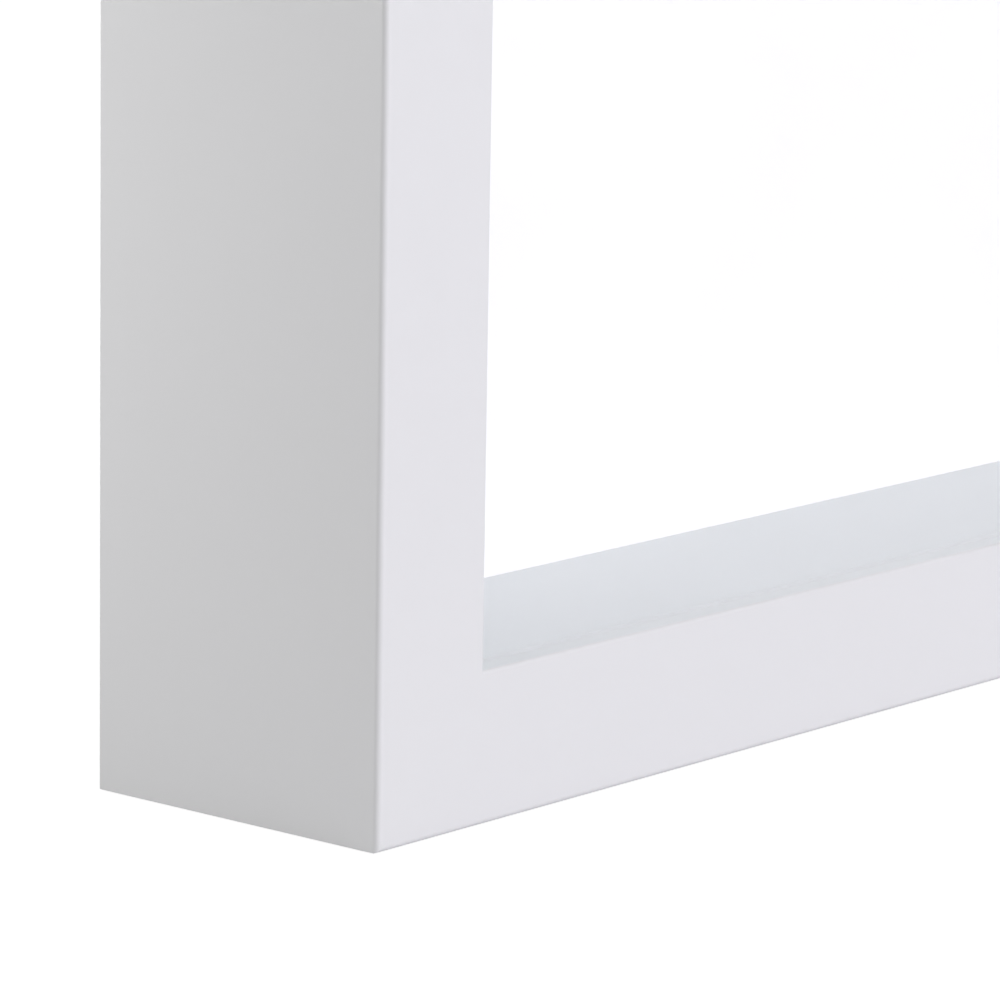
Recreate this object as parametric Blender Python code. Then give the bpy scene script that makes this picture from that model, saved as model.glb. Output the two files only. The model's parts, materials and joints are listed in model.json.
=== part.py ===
"""A white shadow box: a deep, square-edged display frame that is loaded from behind.

Metres, +Z up. The origin is the middle of the box's underside. The front faces -Y, the wall is at +Y.
Each of the four sides is built in its own frame, an empty in the middle of that side's outer face: its X runs
along the side, its Y runs from front to back, and its Z points in towards the middle of the box.
"""

import math

import bmesh
import bpy
from mathutils import Matrix, Vector

# The sheets that the box takes, 11 x 14 inches, and the play round them in the rabbet
FORMAT_WIDTH = 0.2794
FORMAT_HEIGHT = 0.3556
PLAY = 0.0010

# The moulding: a square section with a rabbet behind a thin front lip
FACE = 0.0200
DEPTH = 0.0480
LIP = 0.0065
LIP_THICKNESS = 0.0030
OUTER_ARRIS = 0.0008
SIGHT_ARRIS = 0.0005
REAR_ARRIS = 0.0002

# The stack behind the lip, from front to back
GLAZING_THICKNESS = 0.0015
CAVITY_DEPTH = 0.0370  # front face to mount board
LINER_THICKNESS = 0.0050
MOUNT_BOARD_THICKNESS = 0.0020
FOAM_BOARD_THICKNESS = 0.0050
BACK_PANEL_THICKNESS = 0.0030

# Pieces that touch on the real box stand this far apart
GAP = 0.0003

# Turn buttons on the rear faces of the rails, pivoting on their screws
BUTTON_WIDTH = 0.0090
BUTTON_REACH = 0.0230  # pivot to tip
BUTTON_THICKNESS = 0.0010
BUTTON_OFFSET = 0.0960  # from the middle of a long side

# Each turn button: its side, its place along that side, and its turn in degrees from across the back panel to
# aside, along the rail. The upright sides' buttons are turned down: along the right side X runs up, and along
# the left side it runs down.
BUTTONS = {
    "bottom": ("bottom", 0, 90),
    "right_lower": ("right", -BUTTON_OFFSET, -90),
    "right_upper": ("right", BUTTON_OFFSET, -90),
    "top": ("top", 0, 90),
    "left_lower": ("left", BUTTON_OFFSET, 90),
    "left_upper": ("left", -BUTTON_OFFSET, 90),
}

# Pan-head wood screws
SCREW_HEAD_RADIUS = 0.0028
SCREW_HEAD_HEIGHT = 0.0017
SCREW_SHANK_RADIUS = 0.0014
SCREW_TIP_LENGTH = 0.0025
SCREW_IN_WOOD = 0.0100

# Strap hangers: a folded steel strap that holds a wire D-ring in its rolled eye
HANGER_HEIGHT = 0.2420  # height of the ring's pivot
STRAP_WIDTH = 0.0080
STRAP_LENGTH = 0.0210
STRAP_THICKNESS = 0.0010
STRAP_SCREW_DROP = 0.0160  # pivot to screw
RING_WIRE_RADIUS = 0.0010
RING_HALF_WIDTH = 0.0056  # to the middle of the wire
RING_STRAIGHT = 0.0044  # straight stretch of side below the pivot, and half of the bar
RING_CORNER = 0.0012
EYE_INNER_RADIUS = RING_WIRE_RADIUS + GAP
EYE_OUTER_RADIUS = EYE_INNER_RADIUS + STRAP_THICKNESS

# Corner nails: V-shaped strips driven into each mitre from behind
NAIL_INSET = 0.0052  # outer faces to the nail's outer corner
NAIL_LEG = 0.0060
NAIL_THICKNESS = 0.0008
NAIL_DEPTH = 0.0100

# Rubber bumpers that keep the lower corners off the wall, near the rails' inner edges
BUMPER_RADIUS = 0.0033
BUMPER_THICKNESS = 0.0060
BUMPER_ROUNDING = 0.0006
BUMPER_HEIGHT = 0.0240
BUMPER_INSET = 0.0099  # outer face to middle

# Worked out from the above
WALL = FACE - LIP
WIDTH = FORMAT_WIDTH + 2 * (PLAY + WALL)
HEIGHT = FORMAT_HEIGHT + 2 * (PLAY + WALL)
FRONT = -DEPTH / 2
REAR = DEPTH / 2
RAIL_MIDDLE = WALL / 2  # middle of a rail's rear face
GLAZING_FRONT = FRONT + LIP_THICKNESS + GAP
GLAZING_BACK = GLAZING_FRONT + GLAZING_THICKNESS
MOUNT_BOARD_FRONT = FRONT + CAVITY_DEPTH
FOAM_BOARD_FRONT = MOUNT_BOARD_FRONT + MOUNT_BOARD_THICKNESS + GAP
BACK_PANEL_FRONT = FOAM_BOARD_FRONT + FOAM_BOARD_THICKNESS + GAP
HOLE_RADIUS = SCREW_SHANK_RADIUS + GAP

# Name of each side: its length, the middle of its outer face, and its turn about Y
SIDES = {
    "bottom": (WIDTH, (0, 0, 0), 0),
    "right": (HEIGHT, (WIDTH / 2, 0, HEIGHT / 2), -90),
    "top": (WIDTH, (0, 0, HEIGHT), 180),
    "left": (HEIGHT, (-WIDTH / 2, 0, HEIGHT / 2), 90),
}


def clear_scene():
    for old in list(bpy.data.objects):
        bpy.data.objects.remove(old, do_unlink=True)


def make_material(name, colour, roughness, metallic=0.0, alpha=1.0):
    material = bpy.data.materials.new(name)
    material.use_nodes = True
    shader = material.node_tree.nodes["Principled BSDF"]
    shader.inputs["Base Color"].default_value = (*colour, 1)
    shader.inputs["Roughness"].default_value = roughness
    shader.inputs["Metallic"].default_value = metallic
    shader.inputs["Alpha"].default_value = alpha
    return material


def place(name, data, material=None, parent=None, location=(0, 0, 0), rotation=(0, 0, 0)):
    """Adds an object to the scene. Rotation is in degrees."""
    placed = bpy.data.objects.new(name, data)
    bpy.context.scene.collection.objects.link(placed)
    placed.parent = parent
    placed.location = location
    placed.rotation_euler = [math.radians(angle) for angle in rotation]
    if material:
        data.materials.append(material)
    return placed


def mesh_from(name, shape):
    bmesh.ops.recalc_face_normals(shape, faces=shape.faces)
    mesh = bpy.data.meshes.new(name)
    shape.to_mesh(mesh)
    shape.free()
    return mesh


def arc(centre, radius, start, end, steps):
    """Points of an arc about centre, from the start angle to the end angle in degrees, both ends included."""
    angles = [math.radians(start + (end - start) * step / steps) for step in range(steps + 1)]
    return [(centre[0] + radius * math.cos(a), centre[1] + radius * math.sin(a)) for a in angles]


def circle(centre, radius, steps):
    return arc(centre, radius, 0, 360, steps)[:-1]


def add_box(shape, low, high):
    size = Vector(high) - Vector(low)
    middle = (Vector(high) + Vector(low)) / 2
    bmesh.ops.create_cube(shape, size=1, matrix=Matrix.LocRotScale(middle, None, size))


def box(name, low, high, material, parent=None):
    shape = bmesh.new()
    add_box(shape, low, high)
    return place(name, mesh_from(name, shape), material, parent)


def add_prism(shape, outline, near, far):
    """Adds an outline of (x, z) points, extruded along Y from near to far."""
    rings = [[shape.verts.new((x, y, z)) for x, z in outline] for y in (near, far)]
    shape.faces.new(rings[0])
    shape.faces.new(rings[1])
    for k in range(len(outline)):
        after = (k + 1) % len(outline)
        shape.faces.new((rings[0][k], rings[0][after], rings[1][after], rings[1][k]))


def pierced_plate(name, loops, thickness, material, **placing):
    """A flat plate from closed loops of points: the first is its outline, the others are holes."""
    curve = bpy.data.curves.new(name, "CURVE")
    curve.dimensions = "2D"
    curve.fill_mode = "BOTH"
    curve.extrude = thickness / 2
    for loop in loops:
        spline = curve.splines.new("POLY")
        spline.points.add(len(loop) - 1)
        spline.use_cyclic_u = True
        for point, (x, y) in zip(spline.points, loop):
            point.co = (x, y, 0, 1)
    return place(name, curve, material, **placing)


def turned_mesh(name, profile, steps):
    """A solid turned about Z from a profile of (radius, z) points that starts and ends on the axis."""
    shape = bmesh.new()
    rings = []
    for radius, z in profile:
        corners = circle((0, 0), radius, steps) if radius else [(0, 0)]
        rings.append([shape.verts.new((x, y, z)) for x, y in corners])
    for ring, following in zip(rings, rings[1:]):
        for k in range(steps):
            after = (k + 1) % steps
            if len(ring) == 1:
                shape.faces.new((ring[0], following[k], following[after]))
            elif len(following) == 1:
                shape.faces.new((ring[k], following[0], ring[after]))
            else:
                shape.faces.new((ring[k], following[k], following[after], ring[after]))
    return mesh_from(name, shape)


def cut(target, cutter):
    """Takes the cutter, a hidden guide, out of the target."""
    cutter.hide_render = True
    cutter.display_type = "WIRE"
    boolean = target.modifiers.new(cutter.name, "BOOLEAN")
    boolean.operation = "DIFFERENCE"
    boolean.solver = "EXACT"
    boolean.object = cutter


def moulding_section():
    """The rail's section as (distance in from the outer face, y) points."""
    outer_arris = arc((OUTER_ARRIS, FRONT + OUTER_ARRIS), OUTER_ARRIS, 180, 270, 4)
    sight_arris = arc((FACE - SIGHT_ARRIS, FRONT + SIGHT_ARRIS), SIGHT_ARRIS, 270, 360, 4)
    rabbet = [(FACE, FRONT + LIP_THICKNESS), (WALL, FRONT + LIP_THICKNESS), (WALL, REAR)]
    rear_arris = arc((REAR_ARRIS, REAR - REAR_ARRIS), REAR_ARRIS, 90, 180, 2)
    return outer_arris + sight_arris + rabbet + rear_arris


def nail_outline(grow=0.0):
    """The corner nail's L, seen from behind, at the corner that begins a side. grow widens it all round."""
    near = NAIL_INSET - grow
    inner = NAIL_INSET + NAIL_THICKNESS + grow
    end = NAIL_INSET + NAIL_LEG + grow
    return [(near, near), (end, near), (end, inner), (inner, inner), (inner, end), (near, end)]


def rail_cutter(side, length, holes):
    """Pilot holes at the given places along the rail, and the half of a nail's slot at each mitre."""
    shape = bmesh.new()
    clear_of_rear = REAR + GAP
    for along in holes:
        corners = circle((along, RAIL_MIDDLE), HOLE_RADIUS, 16)
        add_prism(shape, corners, REAR - SCREW_IN_WOOD - GAP, clear_of_rear)
    for end in (-1, 1):
        slot = [(end * (length / 2 - x), z) for x, z in nail_outline(GAP)]
        add_prism(shape, slot, REAR - NAIL_DEPTH - 2 * GAP, clear_of_rear)
    name = f"rail_{side}_holes"
    return place(name, mesh_from(name, shape), parent=side_frames[side])


def make_rail(side, length, holes, material):
    """An L-section rail with mitred ends that stand off their neighbours by half a gap each."""
    section = moulding_section()
    setback = GAP / math.sqrt(2)
    shape = bmesh.new()
    ends = []
    for end in (-1, 1):
        ends.append([shape.verts.new((end * (length / 2 - u - setback), y, u)) for u, y in section])
        shape.faces.new(ends[-1])
    for k in range(len(section)):
        after = (k + 1) % len(section)
        shape.faces.new((ends[0][k], ends[0][after], ends[1][after], ends[1][k]))
    name = f"rail_{side}"
    rail = place(name, mesh_from(name, shape), material, side_frames[side])
    cut(rail, rail_cutter(side, length, holes))


def make_liner(side, length, material):
    """A spacer wall whose inner face is flush with the sight edge. The upright ones stand between the others."""
    shorter = FACE + GAP if side in ("left", "right") else PLAY + WALL
    half = length / 2 - shorter
    low = (-half, GLAZING_BACK + GAP, FACE - LINER_THICKNESS)
    high = (half, MOUNT_BOARD_FRONT - GAP, FACE)
    box(f"liner_{side}", low, high, material, side_frames[side])


def make_sheet(name, front, thickness, material):
    """One of the flat sheets of the box's format."""
    below = PLAY + WALL
    low = (-FORMAT_WIDTH / 2, front, below)
    high = (FORMAT_WIDTH / 2, front + thickness, below + FORMAT_HEIGHT)
    box(name, low, high, material)


def screw_mesh(under_head):
    """A pan-head screw along Z, its origin on the wood's surface and its head standing clear by under_head."""
    dome = [
        (0, under_head + SCREW_HEAD_HEIGHT),
        (0.55 * SCREW_HEAD_RADIUS, under_head + 0.94 * SCREW_HEAD_HEIGHT),
        (0.90 * SCREW_HEAD_RADIUS, under_head + 0.66 * SCREW_HEAD_HEIGHT),
        (SCREW_HEAD_RADIUS, under_head + 0.30 * SCREW_HEAD_HEIGHT),
        (SCREW_HEAD_RADIUS, under_head),
    ]
    shank = [
        (SCREW_SHANK_RADIUS, under_head),
        (SCREW_SHANK_RADIUS, SCREW_TIP_LENGTH - SCREW_IN_WOOD),
        (0, -SCREW_IN_WOOD),
    ]
    return turned_mesh("screw", dome + shank, 16)


def make_turn_button(name, side, along, aside, button_material, screw_material):
    """A turn button that is turned aside, so that the back panel can lift out, and the screw that it turns on."""
    end_radius = BUTTON_WIDTH / 2
    near_end = arc((0, 0), end_radius, 180, 360, 10)
    far_end = arc((0, BUTTON_REACH - end_radius), end_radius, 0, 180, 10)
    hole = circle((0, 0), HOLE_RADIUS, 16)
    pierced_plate(
        f"turn_button_{name}",
        [near_end + far_end, hole],
        BUTTON_THICKNESS,
        button_material,
        parent=side_frames[side],
        location=(along, REAR + GAP + BUTTON_THICKNESS / 2, RAIL_MIDDLE),
        rotation=(90, aside, 0),
    )
    place(
        f"turn_button_screw_{name}",
        screw_mesh(BUTTON_THICKNESS + 2 * GAP),
        screw_material,
        side_frames[side],
        (along, REAR, RAIL_MIDDLE),
        (-90, 0, 0),
    )


def strap_outline():
    """The strap seen from its side, as (distance behind the rail, height over the pivot) points.

    Its upper end is rolled into an eye that stops a gap short of the plate.
    """
    pivot = (GAP + EYE_OUTER_RADIUS, 0)
    front = GAP + STRAP_THICKNESS
    roll_end = -math.degrees(math.acos((front + GAP - pivot[0]) / EYE_OUTER_RADIUS))
    outside = arc(pivot, EYE_OUTER_RADIUS, 180, roll_end, 22)
    inside = arc(pivot, EYE_INNER_RADIUS, roll_end, 180, 18)
    return outside + inside + [(front, -STRAP_LENGTH), (GAP, -STRAP_LENGTH)]


def make_hanger(side, x, steel, screw_material):
    """A strap hanger on an upright rail: its ring hangs down from the strap's eye."""
    shape = bmesh.new()
    add_prism(shape, strap_outline(), -STRAP_WIDTH / 2, STRAP_WIDTH / 2)
    name = f"hanger_strap_{side}"
    strap = place(name, mesh_from(name, shape), steel, None, (x, REAR, HANGER_HEIGHT), (0, 0, 90))

    screw_height = HANGER_HEIGHT - STRAP_SCREW_DROP
    shape = bmesh.new()
    add_prism(shape, circle((x, screw_height), HOLE_RADIUS, 16), REAR - GAP, REAR + 3 * STRAP_THICKNESS)
    cut(strap, place(f"{name}_hole", mesh_from(f"{name}_hole", shape)))

    under_head = STRAP_THICKNESS + 2 * GAP
    screw_place = (x, REAR, screw_height)
    place(f"hanger_screw_{side}", screw_mesh(under_head), screw_material, None, screw_place, (-90, 0, 0))
    make_ring(side, (x, REAR + GAP + EYE_OUTER_RADIUS, HANGER_HEIGHT), steel)


def make_ring(side, pivot, material):
    """A D of round wire: a straight bar on the pivot, two rounded corners, and a bow below them."""
    corner_x = RING_HALF_WIDTH - RING_CORNER
    right_corner = arc((corner_x, -RING_CORNER), RING_CORNER, 90, 0, 4)
    bow = arc((0, -RING_STRAIGHT), RING_HALF_WIDTH, 0, -180, 16)
    left_corner = arc((-corner_x, -RING_CORNER), RING_CORNER, 180, 90, 4)
    curve = bpy.data.curves.new(f"hanger_ring_{side}", "CURVE")
    curve.dimensions = "3D"
    curve.bevel_depth = RING_WIRE_RADIUS
    curve.bevel_resolution = 2
    route = right_corner + bow + left_corner
    spline = curve.splines.new("POLY")
    spline.points.add(len(route) - 1)
    spline.use_cyclic_u = True
    for point, (x, z) in zip(spline.points, route):
        point.co = (x, 0, z, 1)
    place(f"hanger_ring_{side}", curve, material, None, pivot)


def make_corner_nail(side, length, name, material):
    """The nail at the corner where a side begins, just below the rear face."""
    shape = bmesh.new()
    outline = [(x - length / 2, z) for x, z in nail_outline()]
    add_prism(shape, outline, REAR - GAP - NAIL_DEPTH, REAR - GAP)
    place(name, mesh_from(name, shape), material, side_frames[side])


def make_bumper(name, x, material):
    rim = arc((BUMPER_RADIUS - BUMPER_ROUNDING, BUMPER_THICKNESS - BUMPER_ROUNDING), BUMPER_ROUNDING, 90, 0, 3)
    profile = [(0, BUMPER_THICKNESS), *rim, (BUMPER_RADIUS, 0), (0, 0)]
    place(name, turned_mesh(name, profile, 24), material, None, (x, REAR + GAP, BUMPER_HEIGHT), (-90, 0, 0))


clear_scene()

white_paint = make_material("white_paint", (0.86, 0.86, 0.87), 0.42)
white_liner = make_material("white_liner", (0.86, 0.87, 0.88), 0.60)
clear_acrylic = make_material("clear_acrylic", (1.0, 1.0, 1.0), 0.03, alpha=0.10)
white_board = make_material("white_board", (0.92, 0.92, 0.92), 0.80)
foam_core = make_material("foam_core", (0.90, 0.90, 0.88), 0.85)
brown_hardboard = make_material("brown_hardboard", (0.36, 0.23, 0.13), 0.70)
zinc_steel = make_material("zinc_steel", (0.66, 0.66, 0.65), 0.35, metallic=1.0)
screw_steel = make_material("screw_steel", (0.60, 0.60, 0.60), 0.32, metallic=1.0)
nail_steel = make_material("nail_steel", (0.45, 0.45, 0.46), 0.45, metallic=1.0)
grey_rubber = make_material("grey_rubber", (0.30, 0.30, 0.31), 0.80)

side_frames = {
    side: place(f"{side}_side", None, location=middle, rotation=(0, turn, 0))
    for side, (_, middle, turn) in SIDES.items()
}

# Along the right side X runs up, and along the left side it runs down
hanger_screw_along = HANGER_HEIGHT - STRAP_SCREW_DROP - HEIGHT / 2
pilot_holes = {"bottom": [], "right": [hanger_screw_along], "top": [], "left": [-hanger_screw_along]}
for side, along, _ in BUTTONS.values():
    pilot_holes[side].append(along)

# The corner where each side begins
corners = {"bottom": "bottom_left", "right": "bottom_right", "top": "top_right", "left": "top_left"}

for side, (length, _, _) in SIDES.items():
    make_rail(side, length, pilot_holes[side], white_paint)
    make_liner(side, length, white_liner)
    make_corner_nail(side, length, f"corner_nail_{corners[side]}", nail_steel)

for name, (side, along, aside) in BUTTONS.items():
    make_turn_button(name, side, along, aside, zinc_steel, screw_steel)

make_sheet("glazing_pane", GLAZING_FRONT, GLAZING_THICKNESS, clear_acrylic)
make_sheet("mount_board", MOUNT_BOARD_FRONT, MOUNT_BOARD_THICKNESS, white_board)
make_sheet("foam_board", FOAM_BOARD_FRONT, FOAM_BOARD_THICKNESS, foam_core)
make_sheet("back_panel", BACK_PANEL_FRONT, BACK_PANEL_THICKNESS, brown_hardboard)

for side, way in (("left", -1), ("right", 1)):
    rail_x = way * (WIDTH / 2 - RAIL_MIDDLE)
    make_hanger(side, rail_x, zinc_steel, screw_steel)
    make_bumper(f"wall_bumper_{side}", way * (WIDTH / 2 - BUMPER_INSET), grey_rubber)
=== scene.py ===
"""Looks of the white shadow box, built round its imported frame.

Metres, +Z up. The origin is the middle of the box's underside. The front faces -Y, the wall is at +Y.
Each piece stands for one CAD node, rides on that node's body and keeps its place. Pieces that belong to one side
are built in that side's frame: X along the side, Y from front to back, Z in towards the middle of the box.
"""

import json
import math

import bmesh
import bpy
from mathutils import Matrix, Vector

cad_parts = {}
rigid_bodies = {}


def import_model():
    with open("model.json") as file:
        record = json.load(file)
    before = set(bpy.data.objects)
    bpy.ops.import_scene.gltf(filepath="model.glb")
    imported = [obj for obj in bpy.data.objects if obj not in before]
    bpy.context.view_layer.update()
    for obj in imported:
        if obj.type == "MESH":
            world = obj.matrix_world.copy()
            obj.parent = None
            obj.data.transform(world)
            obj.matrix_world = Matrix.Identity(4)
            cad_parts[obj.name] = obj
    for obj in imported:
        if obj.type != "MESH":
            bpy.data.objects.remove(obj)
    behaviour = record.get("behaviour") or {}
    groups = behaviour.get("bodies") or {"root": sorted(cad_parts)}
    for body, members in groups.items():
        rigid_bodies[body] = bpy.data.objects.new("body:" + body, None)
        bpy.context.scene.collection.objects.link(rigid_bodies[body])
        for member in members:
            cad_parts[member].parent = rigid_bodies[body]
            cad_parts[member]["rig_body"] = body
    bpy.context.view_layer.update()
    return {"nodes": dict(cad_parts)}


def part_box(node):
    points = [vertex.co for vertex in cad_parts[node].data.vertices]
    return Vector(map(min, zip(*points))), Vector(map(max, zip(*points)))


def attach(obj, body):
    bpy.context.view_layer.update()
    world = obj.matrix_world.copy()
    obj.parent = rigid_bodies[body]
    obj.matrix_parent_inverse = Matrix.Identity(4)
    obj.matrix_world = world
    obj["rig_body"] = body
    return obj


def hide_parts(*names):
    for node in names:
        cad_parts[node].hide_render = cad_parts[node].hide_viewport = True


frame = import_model()

# ---------------------------------------------------------------------------------------------------------------
# Sizes, read from the frame
# ---------------------------------------------------------------------------------------------------------------

left_low, left_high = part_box("rail_left")
FRONT, REAR = left_low.y, left_high.y
FACE = left_high.x - left_low.x
WIDTH = -2 * left_low.x
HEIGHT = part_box("rail_top")[1].z

pane_low, pane_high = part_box("glazing_pane")
PLAY = 0.0010  # pane to rabbet wall
WALL = pane_low.z - PLAY  # outer face to rabbet wall
RAIL_MIDDLE = WALL / 2

# Name of each side: its length, the middle of its outer face, and its turn about Y in degrees
SIDES = {
    "bottom": (WIDTH, (0, 0, 0), 0),
    "right": (HEIGHT, (WIDTH / 2, 0, HEIGHT / 2), -90),
    "top": (WIDTH, (0, 0, HEIGHT), 180),
    "left": (HEIGHT, (-WIDTH / 2, 0, HEIGHT / 2), 90),
}

# Name of each corner: the side that begins there
CORNERS = {"bottom_left": "bottom", "bottom_right": "right", "top_right": "top", "top_left": "left"}

# Moulding
OUTER_ARRIS = 0.0008
SIGHT_ARRIS = 0.0005
REAR_ARRIS = 0.0002
CORNER_ROUNDING = 0.00012
CAD_GAP = 0.0003  # between neighbouring solids in the frame
CONTACT = 0.00004  # between pieces that touch
EDGE_STRIP_INSET = 0.00004  # sight edge to the strip round the pane
EDGE_STRIP_GAP = 0.00002  # pane to its strip
PANE_EDGE = 0.00008
LINER_EDGE = 0.0001
MITRE_STEP = 0.0001  # between the lines of the moulding next to a mitre
MITRE_STEPS = 4
TINY = 0.000001

# Sheets
BOARD_EDGE = 0.00015
HARDBOARD_EDGE = 0.0003
FOAM_PAPER = 0.0004
FOAM_SET_BACK = 0.00015  # cut foam behind the edge of its paper

# Corner nails
NAIL_INSET = 0.0052
NAIL_LEG = 0.0060
NAIL_THICKNESS = 0.0008
NAIL_EDGE = 0.00012

# Turn buttons, as in the frame: their side, and their turn in degrees from across the back panel to aside
BUTTON_SIDES = {
    "bottom": ("bottom", 90),
    "right_lower": ("right", -90),
    "right_upper": ("right", -90),
    "top": ("top", 90),
    "left_lower": ("left", 90),
    "left_upper": ("left", 90),
}
BUTTON_WIDTH = 0.0090
BUTTON_REACH = 0.0230
BUTTON_EDGE = 0.00025

# Pan-head screws
HEAD_RADIUS = 0.0028
HEAD_HEIGHT = 0.0017
HEAD_RIM = 0.00035  # height of the straight rim under the dome
HEAD_EDGE = 0.0001
DOME_STEPS = 9
NECK = 0.0002  # plain shank that is one with the head
SHANK_RADIUS = 0.0014
THREAD_PITCH = 0.0011
THREAD_DEPTH = 0.0003
THREAD_STEEPNESS = 4.5
THREAD_START = -0.0006
POINT_LENGTH, POINT_SHARE = 0.0025, 0.05  # where the shank tapers, and what is left of it at the tip
SHANK_LEVELS, SHANK_SIDES = 84, 20
SCREW_IN_WOOD = 0.0100
RECESS_REACH = 0.0015  # from the middle of the head to the end of each slot
RECESS_WIDTH = 0.00055
RECESS_DEPTH = 0.0010
RECESS_OVERCUT = 0.0004
UNDER_HEAD_GAP = 0.0001
HOLE_RADIUS = 0.0017
HOLE_TO_SPARE = 0.0003  # pilot hole past the point of its screw
OVERCUT = 0.001  # how far a cutter passes the face that it cuts

# Strap hangers and their rings
STRAP_WIDTH = 0.0080
STRAP_LENGTH = 0.0210
STRAP_THICKNESS = 0.0010
STRAP_END_ROUNDING = 0.0022
STRAP_STAND_OFF = CAD_GAP
STRAP_SCREW_DROP = 0.0160
STRAP_EDGE = 0.00015
WIRE_RADIUS = 0.0010
EYE_INNER_RADIUS = 0.0013
RING_HALF_WIDTH = 0.0056
RING_STRAIGHT = 0.0044
RING_CORNER = 0.0012
RING_BUTT_GAP = 0.00012  # between the ends of the wire
RING_BUTT_SHARE = 0.93  # radius of the wire at its ends
RING_SIDES = 20

# Bumpers
BUMPER_RADIUS = 0.0033
BUMPER_ROUNDING = 0.0010
BUMPER_CROWN = 0.00035  # rise of the domed top
BUMPER_SKIRT = 0.0003  # height over which the foot draws in
BUMPER_TAPE = 0.0005  # thickness of the adhesive tape under the rubber
BUMPER_TAPE_INSET = 0.00025
BUMPER_TAPE_GAP = 0.00001


# ---------------------------------------------------------------------------------------------------------------
# Camera, light and floor
# ---------------------------------------------------------------------------------------------------------------

CAMERA_PLACE = Vector((-0.6335, -0.4451, 0.1689))
CAMERA_YAW, CAMERA_PITCH, CAMERA_ROLL = 50.00, 11.00, 0.91  # degrees
CAMERA_LENS, SENSOR = 191.7, 36.0  # mm

# Light from all round: its strength and how that changes along each axis, its colour, and what the camera sees of it
WORLD_MEAN = 0.338
WORLD_SLOPE = (0.0, 0.0, 0.225)
WORLD_COLOUR = (1.0, 1.0, 1.0)
BACKDROP_STRENGTH = 1.02

# Soft boxes: place, what each points at, width and height, power in watts and colour
LAMPS = {
    "front_box": ((0.60, -2.20, 0.70), (0, 0, 0.19), (1.40, 1.40), 30.7, (1.0, 0.984, 1.072)),
    "left_box": ((-1.50, -1.50, 0.80), (0, 0, 0.15), (1.20, 1.20), 5.6, (1, 1, 1)),
    "rear_left_strip": ((-0.304, 0.30, 0.12), (-0.154, 0, 0.12), (0.10, 0.40), 0.70, (1, 1, 1)),
}

# The floor as the camera sees it, and what it throws back on the box
FLOOR_RADIUS = 30
FLOOR_DROP = 0.0002
FLOOR_GLOW = 0.93
FLOOR_GREY = (0.20, 0.20, 0.20)
FLOOR_BOUNCE = (0.78, 0.78, 0.80)


def camera_turn(yaw, pitch, roll):
    """Rotation of a camera that looks yaw degrees right of +Y and pitch degrees down."""
    yaw, pitch, roll = map(math.radians, (yaw, pitch, roll))
    ahead = Vector((math.sin(yaw) * math.cos(pitch), math.cos(yaw) * math.cos(pitch), -math.sin(pitch)))
    right = Vector((math.cos(yaw), -math.sin(yaw), 0))
    above = right.cross(ahead)
    rolled_right = right * math.cos(roll) + above * math.sin(roll)
    rolled_above = above * math.cos(roll) - right * math.sin(roll)
    return Matrix((rolled_right, rolled_above, -ahead)).transposed()


def make_camera():
    data = bpy.data.cameras.new("camera")
    data.lens, data.sensor_width = CAMERA_LENS, SENSOR
    data.clip_start, data.clip_end = 0.01, 100
    camera = bpy.data.objects.new("camera", data)
    bpy.context.scene.collection.objects.link(camera)
    turn = camera_turn(CAMERA_YAW, CAMERA_PITCH, CAMERA_ROLL).to_4x4()
    camera.matrix_world = Matrix.Translation(CAMERA_PLACE) @ turn
    bpy.context.scene.camera = camera


def make_world():
    """Soft studio light from all round, white behind everything that the camera sees."""
    world = bpy.data.worlds.new("studio")
    bpy.context.scene.world = world
    world.use_nodes = True
    tree = world.node_tree
    tree.nodes.clear()
    add, link = tree.nodes.new, tree.links.new

    # The light's strength is a plane gradient over the direction that it comes from
    place = add("ShaderNodeTexCoord").outputs["Generated"]
    slope = add("ShaderNodeVectorMath")
    slope.operation = "DOT_PRODUCT"
    slope.inputs[1].default_value = WORLD_SLOPE
    link(place, slope.inputs[0])
    total = add("ShaderNodeMath")
    total.operation = "ADD"
    total.inputs[1].default_value = WORLD_MEAN
    link(slope.outputs["Value"], total.inputs[0])
    light = add("ShaderNodeBackground")
    light.inputs["Color"].default_value = (*WORLD_COLOUR, 1)
    link(total.outputs["Value"], light.inputs["Strength"])

    backdrop = add("ShaderNodeBackground")
    backdrop.inputs["Strength"].default_value = BACKDROP_STRENGTH
    choice = add("ShaderNodeMixShader")
    link(add("ShaderNodeLightPath").outputs["Is Camera Ray"], choice.inputs["Fac"])
    link(light.outputs["Background"], choice.inputs[1])
    link(backdrop.outputs["Background"], choice.inputs[2])
    link(choice.outputs["Shader"], add("ShaderNodeOutputWorld").inputs["Surface"])


def make_lamps():
    for name, (place, target, size, power, colour) in LAMPS.items():
        data = bpy.data.lights.new(name, "AREA")
        data.shape, (data.size, data.size_y) = "RECTANGLE", size
        data.energy, data.color = power, colour
        lamp = bpy.data.objects.new(name, data)
        lamp.visible_camera = False
        bpy.context.scene.collection.objects.link(lamp)
        lamp.location = place
        lamp.rotation_euler = (Vector(target) - Vector(place)).to_track_quat("-Z", "Y").to_euler()


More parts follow.
